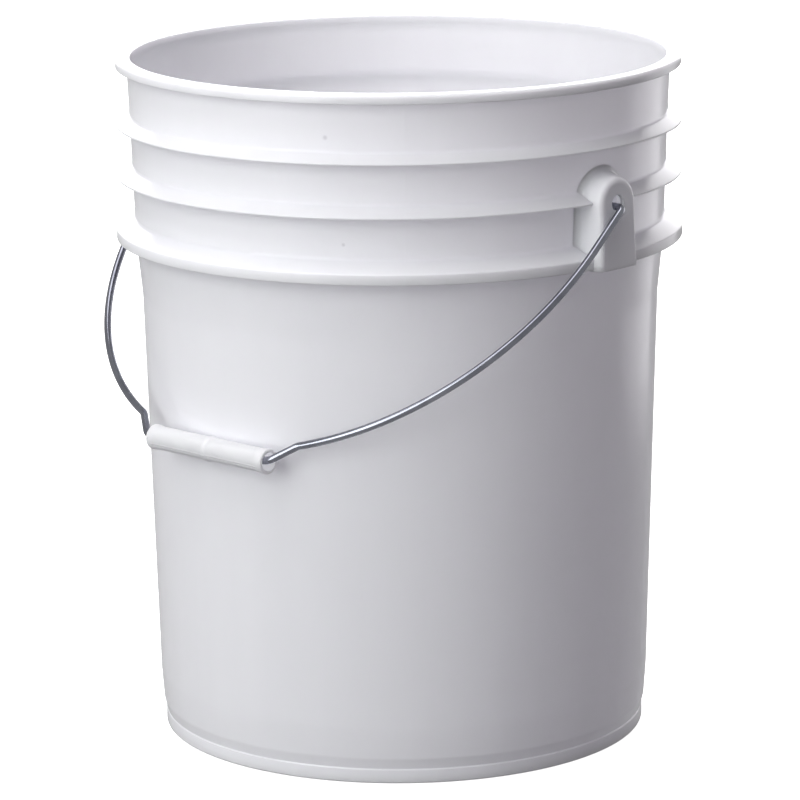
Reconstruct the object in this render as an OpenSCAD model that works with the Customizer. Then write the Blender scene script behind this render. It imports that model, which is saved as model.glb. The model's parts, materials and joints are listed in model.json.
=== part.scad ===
// Plastic fermenting bucket: a ribbed open pail with a swinging wire bail and a loose tube grip.
// Millimetres, +Z up. The origin is the middle of the circle the foot stands on.
// The ears lie on the X axis and the bail hangs towards -Y.

/* [Bucket] */
// Outer diameter of the rim
rim_d = 302; // [300:0.5:304]
// Height from the foot to the top of the rim
pail_h = 366.5; // [365:0.5:372]
// Outer diameter of the foot ring
foot_d = 261.6; // [258:0.2:262]
// Thickness of the wall and of the floor
wall_t = 2.3; // [2:0.1:2.8]
// Height of the rim's outer face
rim_face = 3.5; // [3:0.1:4.5]
// Outer diameter of the two stiffening ribs
rib_d = 302.8; // [300:0.2:303]
// Outer diameter of the skirt
skirt_d = 304; // [302:0.2:305]
// Height of the upright face of the skirt
skirt_face = 5.6; // [4:0.2:8]

/* [Ears] */
// Height of the middle of the ear holes
ear_z = 302.7; // [300:0.1:304]
// Distance from the bucket axis to the face of an ear, at the hole
ear_x = 155.6; // [155:0.1:156]
// Half the width of an ear at its face
ear_half = 13; // [12.5:0.1:14]
// Diameter of the hole for the bail
ear_hole_d = 8.6; // [8.4:0.1:9.4]
// Thickness of the ear's shell
ear_t = 2.4; // [2:0.1:2.5]

/* [Bail] */
// Diameter of the wire
wire_d = 4; // [3.6:0.1:4]
// Distance from the bail's middle to the centre of each leg
bail_half = 161; // [161:0.1:162]
// Side play taken up towards -X
bail_shift = 2.5; // [2:0.1:2.5]
// Angle of the resting bail from straight down
rest_deg = 48.8; // [48.8:0.1:60]
// Distance from the hinge axis to the axis of the grip
grip_reach = 191.5; // [191.5:0.5:196]

/* [Grip] */
// Length of the tube
grip_len = 85.5; // [80:0.5:88]
// Outer diameter of the tube
grip_d = 12.6; // [11:0.1:13]
// Thickness of the tube wall
grip_t = 1.5; // [1.2:0.1:2]

/* [Hidden] */

$fn = 180;
wire_fn = 32;
bend_fn = 72;

// Foot and floor
foot_r = foot_d / 2;
foot_ring_t = 3.2;
foot_band_z = 7;
floor_z = 3.2;

// Outer wall as [radius, height], from the foot to under the rim
neck_r = 144.8;
neck_z = pail_h - 5;
wall_line = [
    [foot_r - 0.3, 8],
    [131.9, 13.5],
    [133.1, 30],
    [138.7, 238],
    [141.2, 264],
    [142, 280.6],
    [143.9, 336],
    [neck_r, neck_z]
];

// Rim
rim_r = rim_d / 2;
rim_inner_r = 143.9;
rim_round = 1.6;
rim_t = 2.6;
lip_t = 1.9;
rim_low_z = pail_h - rim_round - rim_face;

// Ribs and skirt, each with the wall's radius where it joins
rib_r = rib_d / 2;
rib_edge_t = 1;
rib_root_t = 3.2;
rib_slope = 0.56;
rib1_z = 331.5;
rib1_wall_r = 143.7;
rib2_z = 304;
rib2_wall_r = 142.8;
skirt_r = skirt_d / 2;
skirt_wall_r = 142;
skirt_low_z = 269.4;
skirt_top_z = skirt_low_z + skirt_face;
skirt_rise = 5.6;
skirt_t = 2.6;
root = 1.2;

// Ears. Their faces lean out towards the bottom.
ear_back_x = 138;
ear_front_x = 160;
ear_draft = 0.27;
ear_lean = 2.3;
ear_low_z = 268.6;
ear_chamfer = 0.6;

// A cone within the wall's thickness, which keeps ribs and ears out of the inside
core_low_z = 248.6;
core_h = 90;
core_r1 = 139.2;
core_r2 = 143;

// Bail shape in its own plane: x across, y away from the hinge axis
wire_r = wire_d / 2;
hinge_z = ear_z - 1.9;
bend_r = 3;
hook_x = bail_half - 12.8;
hook_y = -6.5;
arc_y = 28.5;
arc_deg = 69;
arc_end = [bail_half * cos(arc_deg), arc_y + bail_half * sin(arc_deg)];
jog = [45, grip_reach];
knuckle_r = wire_r + 0.06;
grip_slide = 3.4;

// One straight run of wire between two points of the bail's plane.
module run(a, b) {
    step = b - a;
    translate([a.x, a.y, 0])
        rotate([0, 0, atan2(step.y, step.x)])
            rotate([0, 90, 0])
                cylinder(h = norm(step), r = wire_r, $fn = wire_fn);
}

// A quarter bend in the bail's plane, of radius bend_r about centre, that starts at angle first.
module quarter_bend(centre, first) {
    translate([centre.x, centre.y, 0])
        rotate([0, 0, first])
            rotate_extrude(angle = 90, $fn = bend_fn)
                translate([bend_r, 0])
                    circle(r = wire_r, $fn = wire_fn);
}

// A set in the wire, where two runs meet at an angle.
module knuckle(p) {
    translate([p.x, p.y, 0])
        sphere(r = knuckle_r, $fn = wire_fn);
}

// One half of the bail on the +X side, without the straight run through the grip.
module half_bail() {
    run([hook_x, hook_y], [hook_x, -bend_r]);
    quarter_bend([hook_x + bend_r, -bend_r], 90);
    run([hook_x + bend_r, 0], [bail_half - bend_r, 0]);
    quarter_bend([bail_half - bend_r, bend_r], 270);
    run([bail_half, bend_r], [bail_half, arc_y]);
    translate([0, arc_y, 0])
        rotate_extrude(angle = arc_deg)
            translate([bail_half, 0])
                circle(r = wire_r, $fn = wire_fn);
    knuckle(arc_end);
    run(arc_end, jog);
    knuckle(jog);
}

// Puts a shape drawn in the bail's plane into its resting place.
module at_rest() {
    translate([-bail_shift, 0, hinge_z])
        rotate([-90 - rest_deg, 0, 0])
            children();
}

module bail() {
    color([0.72, 0.73, 0.76])
        at_rest() {
            half_bail();
            mirror([1, 0, 0])
                half_bail();
            run([-jog.x, jog.y], jog);
        }
}

module grip() {
    grip_r = grip_d / 2;
    color([0.93, 0.93, 0.94])
        at_rest()
            translate([grip_slide, grip_reach, 0])
                rotate([0, 90, 0])
                    difference() {
                        cylinder(h = grip_len, r = grip_r, center = true);
                        cylinder(h = grip_len + 2, r = grip_r - grip_t, center = true);
                    }
}

// The plain wall with its foot and floor, without ribs or ears.
module shell() {
    inner_wall = [for (i = [len(wall_line) - 1 : -1 : 2]) wall_line[i] - [wall_t, 0]];
    foot_ring = [
        [0, floor_z],
        [foot_r - foot_ring_t - 0.8, floor_z],
        [foot_r - foot_ring_t, 0],
        [foot_r - 0.8, 0],
        [foot_r, 0.8],
        [foot_r, foot_band_z]
    ];
    floor_corner = [
        [129.4, 14],
        [127.6, floor_z + wall_t + 2],
        [124.5, floor_z + wall_t],
        [0, floor_z + wall_t]
    ];
    rotate_extrude()
        polygon(concat(foot_ring, wall_line, inner_wall, floor_corner));
}

// The rim's flange with its turned-down lip.
module rim() {
    rotate_extrude()
        polygon([
            [rim_inner_r - 1.2, neck_z],
            [rim_inner_r - 0.9, pail_h - 1],
            [rim_inner_r, pail_h],
            [rim_r - rim_round, pail_h],
            [rim_r - 0.5, pail_h - 0.5],
            [rim_r, pail_h - rim_round],
            [rim_r, rim_low_z],
            [rim_r - lip_t, rim_low_z],
            [rim_r - lip_t, pail_h - rim_t],
            [neck_r + 0.8, pail_h - rim_t],
            [neck_r, neck_z]
        ]);
}

// A thin conical flange whose edge is at height z. It joins the wall where the wall's radius is r.
module rib(z, r) {
    rise = (rib_r - r) * rib_slope;
    rotate_extrude()
        polygon([
            [r - root, z + rise - rib_root_t],
            [r, z + rise - rib_root_t],
            [rib_r, z - rib_edge_t],
            [rib_r, z],
            [r, z + rise],
            [r - root, z + rise]
        ]);
}

// The lowest flange, with an upright face.
module skirt() {
    rotate_extrude()
        polygon([
            [skirt_wall_r - root, skirt_top_z + skirt_rise - rib_root_t],
            [skirt_wall_r, skirt_top_z + skirt_rise - rib_root_t],
            [skirt_r - lip_t, skirt_top_z - skirt_t],
            [skirt_r - lip_t, skirt_low_z],
            [skirt_r, skirt_low_z],
            [skirt_r, skirt_top_z],
            [skirt_wall_r, skirt_top_z + skirt_rise],
            [skirt_wall_r - root, skirt_top_z + skirt_rise]
        ]);
}

// A drafted ear shape with a leaning face. Its outline is drawn in by t.
module ear_block(t, low_z) {
    back_half = ear_half - t + ear_draft * (ear_x - ear_back_x);
    front_half = back_half - ear_draft * (ear_front_x - ear_back_x);
    cut_w = 2 * back_half + 2;
    cut_h = 120;
    difference() {
        union() {
            translate([ear_back_x, 0, ear_z])
                rotate([0, 90, 0])
                    cylinder(h = ear_front_x - ear_back_x, r1 = back_half, r2 = front_half);
            translate([0, 0, low_z])
                linear_extrude(height = ear_z - low_z)
                    polygon([
                        [ear_back_x, -back_half],
                        [ear_front_x, -front_half],
                        [ear_front_x, front_half],
                        [ear_back_x, back_half]
                    ]);
        }
        translate([ear_x - t, 0, ear_z])
            rotate([0, -ear_lean, 0])
                translate([0, -cut_w / 2, -cut_h / 2])
                    cube([10, cut_w, cut_h]);
    }
}

module ear_hole() {
    translate([ear_x - 6, 0, ear_z])
        rotate([0, 90, 0])
            cylinder(h = 8, d = ear_hole_d);
    translate([ear_x - ear_chamfer, 0, ear_z])
        rotate([0, 90, 0])
            cylinder(h = 1, d1 = ear_hole_d, d2 = ear_hole_d + 2);
}

module bucket() {
    color([0.94, 0.94, 0.96]) {
        shell();
        rim();
        difference() {
            union() {
                rib(rib1_z, rib1_wall_r);
                rib(rib2_z, rib2_wall_r);
                skirt();
                for (a = [0, 180])
                    rotate([0, 0, a])
                        ear_block(0, ear_low_z);
            }
            for (a = [0, 180])
                rotate([0, 0, a]) {
                    ear_block(ear_t, ear_low_z - 10);
                    ear_hole();
                }
            translate([0, 0, core_low_z])
                cylinder(h = core_h, r1 = core_r1, r2 = core_r2);
        }
    }
}

bucket();
bail();
grip();
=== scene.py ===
"""The looks of a white plastic fermenting bucket with a wire bail and a tube grip.

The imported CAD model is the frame. The bucket's moulding, its hollow ears, the wire and the grip are
remade here with their fillets, parting lines, bends and lips, in the same place and at the same size.
Sizes are in millimetres in the tables below, and in metres in Blender.
"""

import json
import math

import bmesh
import bpy
from mathutils import Matrix, Vector


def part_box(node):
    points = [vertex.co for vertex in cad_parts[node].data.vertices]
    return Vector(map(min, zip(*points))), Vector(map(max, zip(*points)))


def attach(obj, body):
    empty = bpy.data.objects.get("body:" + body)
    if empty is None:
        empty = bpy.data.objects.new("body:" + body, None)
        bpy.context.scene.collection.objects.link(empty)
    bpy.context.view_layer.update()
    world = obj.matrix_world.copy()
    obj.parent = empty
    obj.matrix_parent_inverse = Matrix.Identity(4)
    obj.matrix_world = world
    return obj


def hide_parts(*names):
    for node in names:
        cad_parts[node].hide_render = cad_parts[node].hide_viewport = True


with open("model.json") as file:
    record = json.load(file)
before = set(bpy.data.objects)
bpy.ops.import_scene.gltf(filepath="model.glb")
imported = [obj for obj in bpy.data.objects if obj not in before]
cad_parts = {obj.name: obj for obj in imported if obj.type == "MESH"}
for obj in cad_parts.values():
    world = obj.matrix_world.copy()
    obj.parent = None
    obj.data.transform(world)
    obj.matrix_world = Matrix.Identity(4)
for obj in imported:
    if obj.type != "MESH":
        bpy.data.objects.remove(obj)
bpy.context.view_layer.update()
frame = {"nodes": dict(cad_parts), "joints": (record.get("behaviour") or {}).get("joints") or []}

MM = 0.001

# ---------------------------------------------------------------- sizes shared with the CAD model
bucket_low, bucket_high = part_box("bucket")
grip_low, grip_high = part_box("grip")
bail_low, bail_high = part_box("bail")
joints = {joint["name"]: joint for joint in frame["joints"]}

PAIL_H = bucket_high.z / MM
SKIRT_R = bucket_high.y / MM
HINGE = Vector(joints["bail_hinge"]["pos_m"])
GRIP_AXIS = Vector(joints["grip_spin"]["pos_m"])
GRIP_REACH = (GRIP_AXIS - HINGE).length / MM
BAIL_SHIFT = (bail_low.x + bail_high.x) / 2 / MM
GRIP_LEN = (grip_high.x - grip_low.x) / MM
GRIP_MID = (grip_high.x + grip_low.x) / 2 / MM

RIM_R = 151.0
RIM_IN_R = 143.9
RIM_LOW = PAIL_H - 5.1
RIB_R = 151.4
SKIRT_LOW = 269.4
WALL_T = 2.3
FOOT_R = 130.8
FLOOR_Z = 3.2

EAR_Z = HINGE.z / MM + 1.9
EAR_HALF = 13.0
EAR_DRAFT = 0.27
EAR_LEAN = math.tan(math.radians(2.3))
EAR_T = 2.4
EAR_LOW = 268.6
EAR_X = bucket_high.x / MM - EAR_LEAN * (EAR_Z - EAR_LOW)
EAR_HOLE_R = 4.3

WIRE_R = 2.0

# The wall's outer line as (radius, height), from above the foot to under the rim
WALL = [(131.9, 13.5), (133.1, 30), (138.7, 238), (141.2, 264), (142.1, 280.6), (143.9, 336), (144.8, 361)]


def wall_radius(z):
    """The wall's outer radius at height z, in millimetres."""
    for (r0, z0), (r1, z1) in zip(WALL, WALL[1:]):
        if z <= z1:
            return r0 + (r1 - r0) * (z - z0) / (z1 - z0)
    return WALL[-1][0]


# ---------------------------------------------------------------- mesh helpers
CORNER_STEPS = 5


def rounded(corners, closed=False, steps=CORNER_STEPS):
    """Points along straight lines through corners (x, y, radius), with each corner rounded by an arc.
    A corner with no radius gives one point, and any other gives steps + 1 points."""
    out = []
    count = len(corners)
    for i, corner in enumerate(corners):
        p = Vector(corner[:2])
        radius = corner[2] if len(corner) > 2 else 0
        inside = closed or 0 < i < count - 1
        if not radius or not inside:
            out.append(p)
            continue
        before = Vector(corners[i - 1][:2]) - p
        after = Vector(corners[(i + 1) % count][:2]) - p
        a, b = before.normalized(), after.normalized()
        half_turn = (math.pi - a.angle(b)) / 2
        reach = min(radius * math.tan(half_turn), 0.48 * before.length, 0.48 * after.length)
        start, end = p + a * reach, p + b * reach
        if half_turn < 0.002:
            out += [start.lerp(end, k / steps) for k in range(steps + 1)]
            continue
        r = reach / math.tan(half_turn)
        centre = p + (a + b).normalized() * (r / math.cos(half_turn))
        s, e = start - centre, end - centre
        angle = s.angle_signed(e)
        for k in range(steps + 1):
            out.append(centre + Matrix.Rotation(-angle * k / steps, 2) @ s)
    return out


def new_object(name, bm, body, slot, *materials):
    """Makes a smooth-shaded object of the bmesh, in metres, that rides on a body."""
    bmesh.ops.recalc_face_normals(bm, faces=bm.faces)
    mesh = bpy.data.meshes.new(name)
    bm.to_mesh(mesh)
    bm.free()
    for polygon in mesh.polygons:
        polygon.use_smooth = True
    for material in materials:
        mesh.materials.append(material)
    obj = bpy.data.objects.new(name, mesh)
    bpy.context.scene.collection.objects.link(obj)
    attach(obj, body)
    return obj


def even_normals(obj):
    """Large faces keep flat-looking normals beside their small rounded edges."""
    modifier = obj.modifiers.new("even_normals", "WEIGHTED_NORMAL")
    modifier.weight = 60
    modifier.keep_sharp = False


def strip(bm, ring_a, ring_b, closed=True, material=0):
    """Quads between two rows of vertices of the same length. material is the number of their material."""
    count = len(ring_a)
    for i in range(count if closed else count - 1):
        j = (i + 1) % count
        corners = []
        for v in (ring_a[i], ring_a[j], ring_b[j], ring_b[i]):
            if v not in corners:
                corners.append(v)
        if len(corners) > 2:
            bm.faces.new(corners).material_index = material


# ---------------------------------------------------------------- material helpers
class Nodes:
    """A short way to build one material's node tree."""

    def __init__(self, name):
        self.material = bpy.data.materials.new(name)
        self.material.use_nodes = True
        self.tree = self.material.node_tree
        self.shader = self.tree.nodes["Principled BSDF"]
        coords = self.add("ShaderNodeTexCoord")
        self.place = coords.outputs["Object"]

    def add(self, kind, inputs=None, **settings):
        node = self.tree.nodes.new(kind)
        for key, value in settings.items():
            setattr(node, key, value)
        for key, value in (inputs or {}).items():
            if isinstance(value, bpy.types.NodeSocket):
                self.tree.links.new(value, node.inputs[key])
            else:
                node.inputs[key].default_value = value
        return node

    def set(self, key, value):
        if isinstance(value, bpy.types.NodeSocket):
            self.tree.links.new(value, self.shader.inputs[key])
        else:
            self.shader.inputs[key].default_value = value

    def stretched(self, scale):
        """Object coordinates scaled along each axis."""
        return self.add("ShaderNodeMapping", {"Vector": self.place, "Scale": scale}).outputs["Vector"]

    def noise(self, scale, vector=None, detail=3.0, rough=0.5):
        inputs = {"Vector": vector or self.place, "Scale": scale, "Detail": detail, "Roughness": rough}
        return self.add("ShaderNodeTexNoise", inputs).outputs["Fac"]

    def ramp(self, value, stops):
        """A smooth ramp through stops of (position, colour or grey)."""
        node = self.add("ShaderNodeValToRGB", {"Fac": value})
        elements = node.color_ramp.elements
        while len(elements) < len(stops):
            elements.new(0.5)
        for element, (position, colour) in zip(elements, stops):
            element.position = position
            element.color = (colour,) * 3 + (1,) if isinstance(colour, float) else (*colour, 1)
        return node.outputs["Color"]

    def bump(self, height, distance, strength=1.0, normal=None):
        inputs = {"Height": height, "Distance": distance, "Strength": strength}
        if normal is not None:
            inputs["Normal"] = normal
        return self.add("ShaderNodeBump", inputs).outputs["Normal"]

    def math(self, operation, a, b=0.0):
        return self.add("ShaderNodeMath", {0: a, 1: b}, operation=operation).outputs[0]


def moulded_plastic(name, dark, light, rough, see_through, blemishes=(), painted_glow=0.0):
    """Glossy white polyethylene: faint flow marks, soft waves, fine grain, and small grey blemishes.
    The last argument is a painted glow: an even emission that stands in for the light that reaches the
    inside of a small hollow through its thin shell."""
    n = Nodes(name)
    flow = n.noise(1.0, n.stretched((26, 26, 3.5)), detail=4.0)
    colour = n.ramp(flow, [(0.3, dark), (0.7, light)])
    for spot, size in blemishes:
        away = n.add("ShaderNodeVectorMath", {0: n.place, 1: spot}, operation="DISTANCE").outputs["Value"]
        share = n.add(
            "ShaderNodeMapRange",
            {"Value": away, "From Min": size * 0.3, "From Max": size, "To Min": 0.4, "To Max": 0.0},
        ).outputs["Result"]
        mix = n.add("ShaderNodeMix", {"Factor": share}, data_type="RGBA")
        n.tree.links.new(colour, mix.inputs[6])
        mix.inputs[7].default_value = (0.42, 0.42, 0.45, 1)
        colour = mix.outputs[2]
    n.set("Base Color", colour)
    scuffs = n.noise(38.0, detail=6.0, rough=0.65)
    n.set("Roughness", n.ramp(scuffs, [(0.3, rough), (0.75, rough + 0.06)]))
    waves = n.bump(n.noise(14.0, detail=2.0), 0.0002, 0.3)
    n.set("Normal", n.bump(n.noise(900.0, detail=3.0), 0.00004, 0.35, waves))
    n.set("IOR", 1.5)
    n.set("Specular IOR Level", 0.28)
    n.set("Subsurface Weight", see_through)
    n.set("Subsurface Radius", (1.0, 0.95, 1.0))
    n.set("Subsurface Scale", 0.008)
    # Painted glow: emission standing in for light that passes through the thin shell; zero on outer
    # surfaces.
    n.set("Emission Color", (0.95, 0.95, 1.0, 1))
    n.set("Emission Strength", painted_glow)
    return n.material


def zinc_wire(name):
    """Bright zinc on drawn wire: lengthwise draw lines, dull patches and slight tarnish."""
    n = Nodes(name)
    patches = n.noise(55.0, detail=5.0, rough=0.6)
    n.set("Base Color", n.ramp(patches, [(0.3, (0.18, 0.185, 0.22)), (0.7, (0.30, 0.31, 0.35))]))
    n.set("Metallic", 1.0)
    n.set("Roughness", n.ramp(n.noise(140.0, detail=4.0), [(0.3, 0.10), (0.75, 0.2)]))
    grain = n.bump(n.noise(1.0, n.stretched((500, 3200, 3200)), detail=3.0), 0.00003, 0.5)
    n.set("Normal", n.bump(n.noise(420.0, detail=2.0), 0.00005, 0.3, grain))
    return n.material


def floor_paper(name):
    """A bright white sweep with a hardly visible paper grain."""
    n = Nodes(name)
    n.set("Base Color", n.ramp(n.noise(300.0), [(0.3, 0.86), (0.7, 0.88)]))
    n.set("Roughness", 0.8)
    n.set("Emission Color", (1, 1, 1, 1))
    n.set("Emission Strength", 0.9)
    return n.material


def glowing(name, strength):
    """A plain white glow."""
    n = Nodes(name)
    n.set("Base Color", (0, 0, 0, 1))
    n.set("Emission Color", (1, 1, 1, 1))
    n.set("Emission Strength", strength)
    return n.material


# ---------------------------------------------------------------- the bucket's moulding
EAR_ANGLES = (0, 180)
PARTING_ANGLES = (45, 135, 225, 315)
PARTING_HALF = 0.1
PARTING_RISE = 0.12


def flange_line(bare, corners):
    """A flange's corners, or with bare the same number of points spread along the wall behind it."""
    if not bare:
        return corners
    first, last = corners[0], corners[-1]
    count = len(corners) - 1
    heights = [first[1] + (last[1] - first[1]) * k / count for k in range(count + 1)]
    return [(wall_radius(z), z, corner[2]) for z, corner in zip(heights, corners)]


def moulding_line(bare):
    """The lathe outline (radius, height) of the bucket: underside, outer wall, rim, inside and floor.
    With bare, the flanges that end at the ears are left out."""
    underside = [
        (0, FLOOR_Z - 1.2),
        (4.2, FLOOR_Z - 1.2, 0.5),
        (5.0, FLOOR_Z, 0.4),
        (46, FLOOR_Z, 0.4),
        (46.8, FLOOR_Z - 0.8, 0.4),
        (49.2, FLOOR_Z - 0.8, 0.4),
        (50, FLOOR_Z, 0.4),
        (FOOT_R - 4.2, FLOOR_Z, 1.2),
        (FOOT_R - 3.2, 0, 0.7),
        (FOOT_R, 0, 0.9),
        (FOOT_R, 7.2, 0.35),
        (FOOT_R - 0.45, 7.9, 0.6),
        (131.9, 13.5, 9),
        (133.1, 30, 60),
        (138.7, 238, 90),
        (141.2, 264, 25),
    ]
    skirt = flange_line(
        bare,
        [
            (141.7, 276.6, 1.0),
            (SKIRT_R - 2.0, 272.2, 0.8),
            (SKIRT_R - 1.9, SKIRT_LOW, 0.4),
            (SKIRT_R, SKIRT_LOW, 0.45),
            (SKIRT_R, 275, 1.0),
            (142.1, 280.6, 2.2),
        ],
    )
    rib_low = flange_line(
        bare,
        [
            (142.85, 305.4, 1.0),
            (RIB_R, 302.9, 0.3),
            (RIB_R, 304, 0.4),
            (143.0, 308.8, 2.0),
        ],
    )
    rib_high = [
        (143.7, 332.8, 1.0),
        (RIB_R, 330.4, 0.3),
        (RIB_R, 331.5, 0.4),
        (143.9, 335.8, 2.0),
    ]
    rim = [
        (145.0, PAIL_H - 2.7, 0.9),
        (RIM_R - 1.9, PAIL_H - 2.5, 0.6),
        (RIM_R - 1.9, RIM_LOW, 0.4),
        (RIM_R, RIM_LOW, 0.5),
        (RIM_R, PAIL_H, 1.8),
        (RIM_IN_R - 0.8, PAIL_H, 0.6),
    ]
    inside = [
        (143.9 - WALL_T, 336, 30),
        (142.1 - WALL_T, 280.6, 30),
        (141.2 - WALL_T, 264, 25),
        (138.7 - WALL_T, 238, 60),
        (133.1 - WALL_T, 30, 40),
        (129.6, 13, 7),
        (126.0, FLOOR_Z + WALL_T, 5),
        (60, FLOOR_Z + WALL_T, 30),
        (0, FLOOR_Z + WALL_T + 0.6),
    ]
    return rounded(underside + skirt + rib_low + rib_high + rim + inside)


def ear_middle(x):
    """Half the width between the middles of an ear's side walls, at distance x from the axis."""
    return EAR_HALF - EAR_T / 2 + EAR_DRAFT * (EAR_X - x)


def columns():
    """The angles of the lathe's columns: one a degree, closer at the ears and beside parting lines."""
    angles = {float(a) for a in range(360)}
    for ear in EAR_ANGLES:
        angles |= {(ear + step * 0.25) % 360 for step in range(-32, 33)}
    for line in PARTING_ANGLES:
        angles |= {line - PARTING_HALF, line + PARTING_HALF}
    return sorted(angles)


def from_ear(angle):
    """The signed angle to the nearer ear, in degrees."""
    return (angle + 90) % 180 - 90


def make_moulding(material):
    """The lathe-turned moulding. Its two lower flanges stop inside the side walls of the ears."""
    full, bare = moulding_line(False), moulding_line(True)
    outer_top = next(i for i, p in enumerate(full) if p.y > PAIL_H - 1)
    bm = bmesh.new()
    rings = []
    for angle in columns():
        turn = math.radians(angle)
        off = math.radians(from_ear(angle))
        on_line = angle in PARTING_ANGLES
        ring = []
        for i, (f, b) in enumerate(zip(full, bare)):
            at_ear = abs(off) < 0.3 and abs(f.x * math.sin(off)) < ear_middle(f.x * math.cos(off))
            p = b if at_ear else f
            r = p.x + (PARTING_RISE if on_line and SKIRT_LOW - 1 < p.y and i < outer_top else 0)
            ring.append(bm.verts.new((r * MM * math.cos(turn), r * MM * math.sin(turn), p.y * MM)))
        rings.append(ring)
    for ring, after in zip(rings, rings[1:] + rings[:1]):
        strip(bm, ring, after, closed=False)
    axis = [v for v in bm.verts if Vector(v.co[:2]).length < 1e-7]
    bmesh.ops.remove_doubles(bm, verts=axis, dist=1e-6)
    obj = new_object("bucket_moulding", bm, "bucket", "bucket", material)
    even_normals(obj)
    return obj


# ---------------------------------------------------------------- the hollow ears
ARCH_STEPS = 40
LEG_STEPS = 10
EAR_FILLET = 4.0
EAR_EDGE = 1.9
LOW_EDGE_SHARE = 0.35
FLARE_STEPS = 6
RELIEF_R = 9.6
RELIEF = 0.35
RELIEF_EDGE = 0.25
HOLE_EDGE = 0.6
# The flare ends just under the wall's surface, runs on below it, and turns back through its thickness.
FLARE_DEPTH = 0.12
ROOT_SPREAD = 2.0
ROOT_DEPTHS = (0.4, 2.1)


def ear_outline(grow):
    """The ear's closed outline (y, z) grown by a distance: arch, left leg, lower edge, right leg."""
    half = EAR_HALF + grow
    points = []
    for k in range(ARCH_STEPS + 1):
        a = math.pi * k / ARCH_STEPS
        points.append((half * math.cos(a), EAR_Z + half * math.sin(a)))
    drop = (EAR_Z - EAR_LOW) / LEG_STEPS
    points += [(-half, EAR_Z - drop * k) for k in range(1, LEG_STEPS + 1)]
    points += [(-half + 2 * half * k / LEG_STEPS, EAR_LOW) for k in range(1, LEG_STEPS)]
    points += [(half, EAR_LOW + drop * k) for k in range(LEG_STEPS)]
    return points


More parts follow.
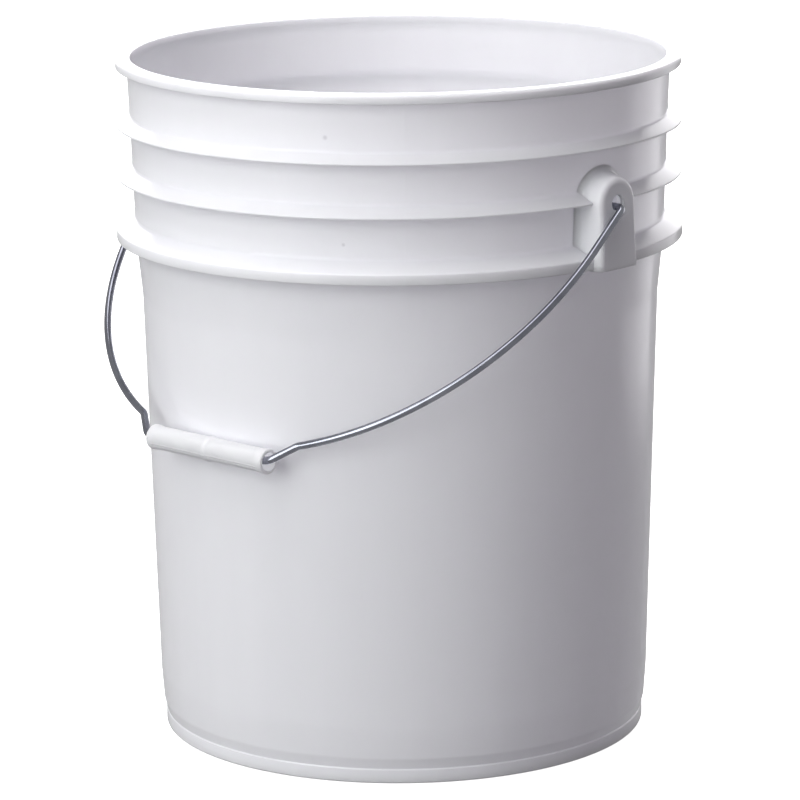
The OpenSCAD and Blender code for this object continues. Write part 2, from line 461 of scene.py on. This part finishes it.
def make_ear(name, side, shell, painted_glow_lining):
    """One hollow ear, open below, with its own material inside, which has a painted glow. side is 1 at +X
    and -1 at -X.
    """
    bm = bmesh.new()
    outer = ear_outline(0)
    inner = ear_outline(-EAR_T)
    count = len(outer)
    bottom = range(ARCH_STEPS + LEG_STEPS, ARCH_STEPS + 2 * LEG_STEPS + 1)
    walled = [i % count for i in range(bottom[-1], count + bottom[0] + 1)]

    def vert(x, y, z, leaning=True):
        out = EAR_LEAN * (EAR_Z - z) if leaning else 0
        return bm.verts.new(Vector((side * (x + out), side * y, z)) * MM)

    def round_hole(radius, x):
        ring = []
        for y, z in outer:
            away = Vector((y, z - EAR_Z)).normalized() * radius
            ring.append(vert(x, away.x, EAR_Z + away.y))
        return ring

    def at_wall(y, z, rise):
        return math.sqrt(wall_radius(z) ** 2 - y * y) + rise

    face = [vert(EAR_X, y, z) for y, z in outer]
    inner_face = [vert(EAR_X - EAR_T, y, z) for y, z in inner]
    rings = [
        face,
        round_hole(RELIEF_R, EAR_X),
        round_hole(RELIEF_R - RELIEF_EDGE, EAR_X - RELIEF),
        round_hole(EAR_HOLE_R + HOLE_EDGE, EAR_X - RELIEF),
        round_hole(EAR_HOLE_R + 0.25 * HOLE_EDGE, EAR_X - RELIEF - 0.4 * HOLE_EDGE),
        round_hole(EAR_HOLE_R, EAR_X - RELIEF - HOLE_EDGE),
        round_hole(EAR_HOLE_R, EAR_X - EAR_T),
        inner_face,
    ]
    for a, b in zip(rings, rings[1:]):
        strip(bm, a, b)

    # Side walls: drafted from the face towards the bucket, then flared into its wall. A level is a distance
    # from the axis, or else an angle of the flare with a spread along the wall and a depth under it.
    outer_rows = [[face[i] for i in walled]]
    inner_rows = [[inner_face[i] for i in walled]]
    quarter = math.pi / 2
    levels = [(EAR_X - 3, 0, 0, 0), (EAR_X - 7, 0, 0, 0)]
    levels += [(None, quarter * k / FLARE_STEPS, 0, FLARE_DEPTH) for k in range(FLARE_STEPS + 1)]
    levels += [(None, quarter, ROOT_SPREAD, depth) for depth in ROOT_DEPTHS]
    for x, a, spread, depth in levels:
        outer_row, inner_row = [], []
        for i in walled:
            y0, z0 = outer[i]
            up = max(z0 - EAR_Z, 0)
            normal = Vector((y0, up)).normalized() if up > 0 else Vector((math.copysign(1, y0), 0))
            if x is not None:
                grow, at = EAR_DRAFT * (EAR_X - x), x
            else:
                base = EAR_DRAFT * (EAR_X - wall_radius(z0) - EAR_FILLET)
                grow = base + EAR_FILLET * (1 - math.cos(a)) + spread
                y, z = y0 + normal.x * grow, z0 + normal.y * grow
                rise = EAR_FILLET * (1 - math.sin(a)) - depth
                at = at_wall(y, z, rise)
            y, z = y0 + normal.x * grow, z0 + normal.y * grow
            outer_row.append(vert(at, y, z, x is not None))
            y0, z0 = inner[i]
            if x is not None:
                at = min(at, EAR_X - EAR_T - 0.5)
            else:
                at += at_wall(y0, z0, 0) - at_wall(y, z, 0)
            grow = EAR_DRAFT * (EAR_X - EAR_T - at)
            inner_row.append(vert(at, y0 + normal.x * grow, z0 + normal.y * grow, x is not None))
        outer_rows.append(outer_row)
        inner_rows.append(inner_row)
    # The inner walls take the second material, whose glow is painted light.
    for rows, number in ((outer_rows, 0), (inner_rows, 1)):
        for a, b in zip(rows, rows[1:]):
            strip(bm, a, b, closed=False, material=number)
    strip(bm, outer_rows[-1], inner_rows[-1], closed=False)

    # The open lower end: a flat band between the outer and the inner walls.
    for end in (0, -1):
        strip(bm, [row[end] for row in outer_rows], [row[end] for row in inner_rows], closed=False)
    strip(bm, [face[i] for i in bottom], [inner_face[i] for i in bottom], closed=False)

    weight = bm.edges.layers.float.new("bevel_weight_edge")
    edge_of = {frozenset(e.verts): e for e in bm.edges}
    for i in range(count):
        j = (i + 1) % count
        low_edge = i in bottom and j in bottom
        edge_of[frozenset((face[i], face[j]))][weight] = LOW_EDGE_SHARE if low_edge else 1.0
    obj = new_object(name, bm, "bucket", "bucket", shell, painted_glow_lining)
    bevel = obj.modifiers.new("rounded_edge", "BEVEL")
    bevel.limit_method = "WEIGHT"
    bevel.width = EAR_EDGE * MM
    bevel.segments = 5
    bevel.use_clamp_overlap = False
    even_normals(obj)
    return obj


# ---------------------------------------------------------------- the bail
BAIL_HALF = 161.0
BAIL_ARC_Y = 28.5
ARC_DEG = 69.0
ARC_STEPS = 60
HOOK_BACK = 12.8
HOOK_LEN = 6.5
JOG_X = 45.0
HOOK_BEND, ARC_BEND, JOG_BEND = 3.0, 14.0, 9.0
WIRE_SIDES = 24
CUT_END_SHARE = 0.88


def bail_line():
    """The wire's centre line (x, y) in the bail's plane, from the -X hook to the +X hook.
    y is the distance from the hinge axis."""
    arc_end = Vector(
        (
            BAIL_HALF * math.cos(math.radians(ARC_DEG)),
            BAIL_ARC_Y + BAIL_HALF * math.sin(math.radians(ARC_DEG)),
        )
    )
    hook_x = BAIL_HALF - HOOK_BACK
    half = [(hook_x, -HOOK_LEN), (hook_x, 0, HOOK_BEND), (BAIL_HALF, 0, HOOK_BEND)]
    for k in range(ARC_STEPS):
        a = math.radians(ARC_DEG * k / ARC_STEPS)
        half.append((BAIL_HALF * math.cos(a), BAIL_ARC_Y + BAIL_HALF * math.sin(a)))
    half += [(arc_end.x, arc_end.y, ARC_BEND), (JOG_X, GRIP_REACH, JOG_BEND)]
    left = [(-corner[0], *corner[1:]) for corner in half]
    return rounded(left + half[::-1], steps=8)


def at_rest():
    """From the bail's plane, x across and y away from the hinge, to its resting place."""
    away = (GRIP_AXIS - HINGE).normalized()
    across = Vector((1, 0, 0))
    turn = Matrix((across, away, across.cross(away))).transposed().to_4x4()
    return Matrix.Translation(HINGE + Vector((BAIL_SHIFT * MM, 0, 0))) @ turn


def make_bail(material):
    """The wire from hook to hook."""
    line = bail_line()
    place = at_rest()
    bm = bmesh.new()
    rings = []
    for i, p in enumerate(line):
        ahead = (line[min(i + 1, len(line) - 1)] - line[max(i - 1, 0)]).normalized()
        out = Vector((ahead.y, -ahead.x))
        shrink = CUT_END_SHARE if i in (0, len(line) - 1) else 1.0
        ring = []
        for k in range(WIRE_SIDES):
            a = 2 * math.pi * k / WIRE_SIDES
            flat = p + out * (WIRE_R * shrink * math.cos(a))
            point = Vector((flat.x, flat.y, WIRE_R * shrink * math.sin(a)))
            ring.append(bm.verts.new(place @ (point * MM)))
        rings.append(ring)
    for a, b in zip(rings, rings[1:]):
        strip(bm, a, b)
    bm.faces.new(rings[0])
    bm.faces.new(rings[-1][::-1])
    obj = new_object("bail_wire", bm, "bail", "bail", material)
    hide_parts("bail")
    return obj


# ---------------------------------------------------------------- the grip
GRIP_R = 6.2
GRIP_BORE = 4.8
GRIP_FLARE = 0.55
RING_RISE = 0.5
RING_HALF = 0.8
RING_EDGE = 0.7
LIP_TURNS = (338, 352)
LIP_RISE = 0.5
END_ROUND = 0.9
END_ROUND_DEPTH = 0.6
FIN_TURNS = (30, 150, 270)
FIN_RISE = 0.5
GRIP_SIDES = 240
GRIP_STEPS = 220


def bell(x, width):
    """1 at 0, falling smoothly to 0 at width."""
    share = min(abs(x) / width, 1)
    return 0.5 + 0.5 * math.cos(math.pi * share)


def grip_radius(along, turn):
    """The grip's outer radius at a distance from its middle and at an angle round it, in degrees."""
    end = GRIP_LEN / 2 - abs(along)
    r = GRIP_R + GRIP_FLARE * bell(end, 7)
    r += RING_RISE * bell(max(abs(along) - RING_HALF, 0), RING_EDGE)
    if end > 3:
        r += sum(LIP_RISE * bell(turn - lip, 4) for lip in LIP_TURNS)
    edge = max(END_ROUND - end, 0) / END_ROUND
    return r - END_ROUND_DEPTH * (1 - math.sqrt(max(1 - edge * edge, 0)))


def make_grip(shell, painted_glow_lining):
    """The tube, with flared ends and three fins in its bore, which has its own material with a painted
    glow.
    """
    away = (GRIP_AXIS - HINGE).normalized()
    across = Vector((1, 0, 0))
    place = Matrix((across, away, across.cross(away))).transposed().to_4x4()
    place = Matrix.Translation(GRIP_AXIS + Vector((GRIP_MID * MM, 0, 0))) @ place
    bm = bmesh.new()
    half = GRIP_LEN / 2
    stations = [-half, -half + 0.1, -half + 0.3, -half + 0.6, -half + 0.9]
    stations += [-half + 1.4 + (GRIP_LEN - 2.8) * k / GRIP_STEPS for k in range(GRIP_STEPS + 1)]
    stations += [half - 0.9, half - 0.6, half - 0.3, half - 0.1, half]

    def ring(along, radius_at):
        out = []
        for k in range(GRIP_SIDES):
            turn = 360 * k / GRIP_SIDES
            r = radius_at(turn)
            a = math.radians(turn)
            out.append(bm.verts.new(place @ (Vector((along, r * math.cos(a), r * math.sin(a))) * MM)))
        return out

    def bore(turn):
        fins = sum(FIN_RISE * bell((turn - fin + 180) % 360 - 180, 7) for fin in FIN_TURNS)
        return GRIP_BORE - fins

    outside = [ring(s, lambda turn, s=s: grip_radius(s, turn)) for s in stations]
    inside = [ring(s, bore) for s in (half - 0.05, half - 6, 0, 6 - half, 0.05 - half)]
    rings = outside + inside
    # The bore's faces take the second material, whose glow is painted light.
    for i, (a, b) in enumerate(zip(rings, rings[1:] + rings[:1])):
        in_bore = len(outside) <= i < len(rings) - 1
        strip(bm, a, b, material=1 if in_bore else 0)
    obj = new_object("grip_tube", bm, "grip", "grip", shell, painted_glow_lining)
    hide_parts("grip")
    even_normals(obj)
    return obj


# ---------------------------------------------------------------- build the object
BLEMISHES = (
    (Vector((0.0695, -0.1261, 0.3435)), 0.0016),
    (Vector((0.0760, -0.1206, 0.2885)), 0.0013),
)
HDPE_COLOURS = (0.835, 0.84, 0.875), (0.86, 0.865, 0.90)
GRIP_COLOURS = (0.83, 0.83, 0.86), (0.86, 0.86, 0.89)
hdpe = moulded_plastic("white_polyethylene", *HDPE_COLOURS, 0.18, 0.8, BLEMISHES)
# The two linings paint a glow inside the hollow ears and the grip's bore, in place of light through the
# thin plastic.
ear_lining_painted_glow = moulded_plastic("ear_lining_painted_glow", *HDPE_COLOURS, 0.18, 0.8, painted_glow=0.2)
grip_plastic = moulded_plastic("white_grip_plastic", *GRIP_COLOURS, 0.35, 1.0)
grip_lining_painted_glow = moulded_plastic("grip_lining_painted_glow", *GRIP_COLOURS, 0.35, 1.0, painted_glow=0.22)
zinc = zinc_wire("zinc_wire")

moulding = make_moulding(hdpe)
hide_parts("bucket")
make_ear("bucket_ear_right", 1, hdpe, ear_lining_painted_glow)
make_ear("bucket_ear_left", -1, hdpe, ear_lining_painted_glow)
make_bail(zinc)
make_grip(grip_plastic, grip_lining_painted_glow)

for node, material in (("bucket", hdpe), ("bail", zinc), ("grip", grip_plastic)):
    cad = frame["nodes"][node]
    cad.data.materials.clear()
    cad.data.materials.append(material)

# ---------------------------------------------------------------- studio
CAMERA_AZIMUTH = 43.8
CAMERA_DISTANCE = 2.286
CAMERA_HEIGHT = 0.697
CAMERA_PITCH = 12.84
CAMERA_ROLL = -0.55
CAMERA_TURN = 0.018
LENS = 194.2


def round_object(azimuth, distance, height):
    """A place round the object. Azimuth 0 is on the -Y side and 90 on the +X side."""
    a = math.radians(azimuth)
    return Vector((distance * math.sin(a), -distance * math.cos(a), height))


def look(place, target):
    """The rotation of a light or camera at place that faces target."""
    return (target - place).to_track_quat("-Z", "Y").to_euler()


def add_camera():
    data = bpy.data.cameras.new("camera")
    data.lens = LENS
    data.sensor_width = 36
    data.clip_end = 100
    camera = bpy.data.objects.new("camera", data)
    camera.location = round_object(CAMERA_AZIMUTH, CAMERA_DISTANCE, CAMERA_HEIGHT)
    drop = CAMERA_DISTANCE * math.tan(math.radians(CAMERA_PITCH))
    aim = look(camera.location, Vector((0, 0, CAMERA_HEIGHT - drop))).to_matrix()
    turn = Matrix.Rotation(math.radians(CAMERA_TURN), 3, "Z")
    roll = Matrix.Rotation(math.radians(CAMERA_ROLL), 3, "Z")
    camera.rotation_euler = (turn @ aim @ roll).to_euler()
    bpy.context.scene.collection.objects.link(camera)
    bpy.context.scene.camera = camera


def add_light(name, azimuth, distance, height, size, power, colour, target=Vector((0, 0, 0.2))):
    data = bpy.data.lights.new(name, "AREA")
    data.shape = "RECTANGLE"
    data.size, data.size_y = size
    data.energy = power
    data.color = colour
    light = bpy.data.objects.new(name, data)
    light.location = round_object(azimuth, distance, height)
    light.rotation_euler = look(light.location, target)
    bpy.context.scene.collection.objects.link(light)
    return light


def add_floor():
    """A white floor that only the camera sees. Its light is part of the world's."""
    bm = bmesh.new()
    bmesh.ops.create_grid(bm, x_segments=8, y_segments=8, size=9)
    mesh = bpy.data.meshes.new("floor")
    bm.to_mesh(mesh)
    bm.free()
    mesh.materials.append(floor_paper("floor_paper"))
    floor = bpy.data.objects.new("floor", mesh)
    floor.location.z = -0.0005
    floor.visible_diffuse = False
    floor.visible_glossy = False
    bpy.context.scene.collection.objects.link(floor)


def add_dome(name, radius, strength, in_reflections):
    """A white dome, for either the camera or reflections. The soft light itself comes from the world."""
    bm = bmesh.new()
    bmesh.ops.create_uvsphere(bm, u_segments=48, v_segments=24, radius=radius)
    mesh = bpy.data.meshes.new(name)
    bm.to_mesh(mesh)
    bm.free()
    mesh.materials.append(glowing(name + "_white", strength))
    dome = bpy.data.objects.new(name, mesh)
    dome.visible_camera = not in_reflections
    dome.visible_glossy = in_reflections
    dome.visible_diffuse = False
    dome.visible_shadow = False
    bpy.context.scene.collection.objects.link(dome)


# The soft light's colour by height, where 0 is straight down and 1 is straight up
WORLD_COLOURS = ((0.2, (0.066, 0.064, 0.068)), (0.75, (0.325, 0.307, 0.33)))


def set_world():
    """Soft light that is brighter from above than from below."""
    world = bpy.data.worlds.new("soft_world")
    world.use_nodes = True
    tree = world.node_tree
    coords = tree.nodes.new("ShaderNodeTexCoord")
    split = tree.nodes.new("ShaderNodeSeparateXYZ")
    ramp = tree.nodes.new("ShaderNodeValToRGB")
    for element, (height, colour) in zip(ramp.color_ramp.elements, WORLD_COLOURS):
        element.position = height
        element.color = (*colour, 1)
    half = tree.nodes.new("ShaderNodeMath")
    half.operation = "MULTIPLY_ADD"
    half.inputs[1].default_value = 0.5
    half.inputs[2].default_value = 0.5
    tree.links.new(coords.outputs["Generated"], split.inputs[0])
    tree.links.new(split.outputs["Z"], half.inputs[0])
    tree.links.new(half.outputs[0], ramp.inputs[0])
    tree.links.new(ramp.outputs[0], tree.nodes["Background"].inputs["Color"])
    bpy.context.scene.world = world


add_camera()
add_floor()
add_dome("backdrop", 8, 1.0, False)
add_dome("reflected_walls", 7.5, 0.5, True)
set_world()
add_light("key", CAMERA_AZIMUTH - 44, 1.7, 0.8, (1.2, 1.7), 24.6, (0.985, 1.0, 1.0))
add_light("top", CAMERA_AZIMUTH - 60, 0.5, 1.9, (1.5, 1.5), 19.4, (1.0, 0.975, 1.0))
add_light("behind", CAMERA_AZIMUTH + 180, 2.4, 0.9, (2.4, 1.8), 36.7, (0.99, 0.98, 1.0))
add_light("side", CAMERA_AZIMUTH + 130, 2.0, 0.2, (1.2, 1.0), 6.1, (0.99, 0.98, 1.0))

bpy.context.scene.view_settings.view_transform = "Standard"
bpy.context.scene.view_settings.look = "None"
